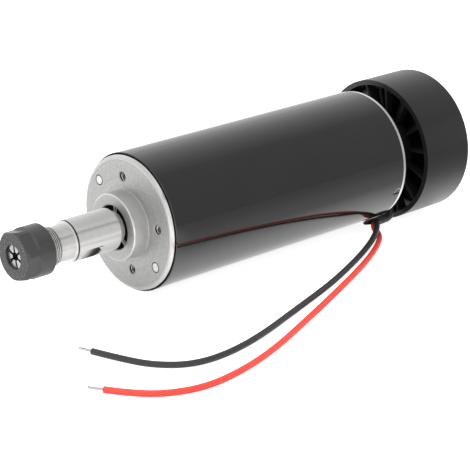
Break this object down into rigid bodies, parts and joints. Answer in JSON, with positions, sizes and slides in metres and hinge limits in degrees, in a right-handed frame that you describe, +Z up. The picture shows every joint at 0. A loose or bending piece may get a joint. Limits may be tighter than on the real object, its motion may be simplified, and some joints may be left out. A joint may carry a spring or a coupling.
{
  "type": "motor spindle",
  "caption": "Air-cooled brushed spindle motor: collet nose and nut, cast front bell, plain tube, hooded rear fan and bare-ended leads.",
  "frame": {"origin": "centre of the front mounting face, on the spindle's axis", "axes": "+X along the axis from the nose towards the fan; +Z up as the motor lies, with the leads on its -Y side"},
  "size_m": [0.2198, 0.1144, 0.0572],
  "materials": {
    "tube": "semi-gloss black paint over a rolled steel tube",
    "cast": "die-cast aluminium, turned front face",
    "cast_rear": "die-cast aluminium, bright turned rim",
    "bolt": "bright steel",
    "race": "ground bearing steel",
    "clip": "spring steel",
    "ferrite": "sintered ferrite",
    "laminate": "phenolic laminate",
    "brass": "stamped brass",
    "spring": "spring wire",
    "hood": "satin moulded black plastic",
    "screw": "blackened steel",
    "grommet": "black rubber",
    "sleeve": "black shrink sleeving",
    "lead_black": "black silicone insulation",
    "lead_red": "red silicone insulation",
    "tinned": "tinned copper strand",
    "shaft": "ground steel",
    "nose": "bright ground steel",
    "lamination": "stacked steel laminations",
    "copper": "enamelled copper wire",
    "copper_bar": "turned copper",
    "fan": "black moulded plastic",
    "ball": "polished bearing steel",
    "cage": "pressed cage",
    "collet": "ground spring steel",
    "nut": "black oxide on turned steel",
    "carbon": "pressed carbon graphite"
  },
  "bodies": {
    "motor": {"motor_tube": "tube", "front_bell": "cast", "rear_bell": "cast_rear", "through_bolts": "bolt", "front_outer_race": "race", "rear_outer_race": "race", "bearing_clip": "clip", "preload_washer": "clip", "magnet_left": "ferrite", "magnet_right": "ferrite", "brush_plate": "laminate", "brush_holder_upper": "brass", "brush_holder_lower": "brass", "brush_spring_upper": "spring", "brush_spring_lower": "spring", "fan_hood": "hood", "hood_screws": "screw", "lead_grommet": "grommet", "cable_sleeve": "sleeve", "black_lead_tail": "lead_black", "red_lead_tail": "lead_red", "black_lead": "lead_black", "red_lead": "lead_red", "black_lead_tip": "tinned", "red_lead_tip": "tinned"},
    "rotor": {"motor_shaft": "shaft", "collet_holder": "nose", "front_inner_race": "race", "rear_inner_race": "race", "armature_core": "lamination", "windings": "copper", "commutator_hub": "laminate", "commutator_bars": "copper_bar", "cooling_fan": "fan", "fan_clip": "clip"},
    "front_ball_set": {"front_balls": "ball", "front_ball_cage": "cage"},
    "rear_ball_set": {"rear_balls": "ball", "rear_ball_cage": "cage"},
    "collet_body": {"collet": "collet"},
    "nut_body": {"collet_nut": "nut"},
    "brush_upper_body": {"brush_upper": "carbon"},
    "brush_lower_body": {"brush_lower": "carbon"}
  },
  "joints": [
    {"name": "rotor_spin", "type": "hinge", "parent": "motor", "child": "rotor", "pos_m": [0.05, 0, 0], "axis": [1, 0, 0], "continuous": true},
    {"name": "front_cage_spin", "type": "hinge", "parent": "motor", "child": "front_ball_set", "pos_m": [-0.0017, 0, 0], "axis": [1, 0, 0], "continuous": true},
    {"name": "rear_cage_spin", "type": "hinge", "parent": "motor", "child": "rear_ball_set", "pos_m": [0.126, 0, 0], "axis": [1, 0, 0], "continuous": true},
    {"name": "collet_slide", "type": "slide", "parent": "rotor", "child": "collet_body", "axis": [-1, 0, 0], "range_m": [0, 0.0015]},
    {"name": "nut_turn", "type": "hinge", "parent": "collet_body", "child": "nut_body", "pos_m": [-0.044, 0, 0], "axis": [-1, 0, 0], "range_deg": [0, 720]},
    {"name": "brush_upper_slide", "type": "slide", "parent": "motor", "child": "brush_upper_body", "axis": [0, 0, 1], "range_m": [0, 0.002], "stiffness_N_per_m": 150, "springref_m": -0.004, "deforming": ["brush_spring_upper"]},
    {"name": "brush_lower_slide", "type": "slide", "parent": "motor", "child": "brush_lower_body", "axis": [0, 0, -1], "range_m": [0, 0.002], "stiffness_N_per_m": 150, "springref_m": -0.004, "deforming": ["brush_spring_lower"]}
  ],
  "couplings": [
    {"joint": "front_cage_spin", "follows": "rotor_spin", "ratio": 0.37},
    {"joint": "rear_cage_spin", "follows": "rotor_spin", "ratio": 0.37},
    {"joint": "nut_turn", "follows": "collet_slide", "rad_per_m": 8377.5}
  ]
}
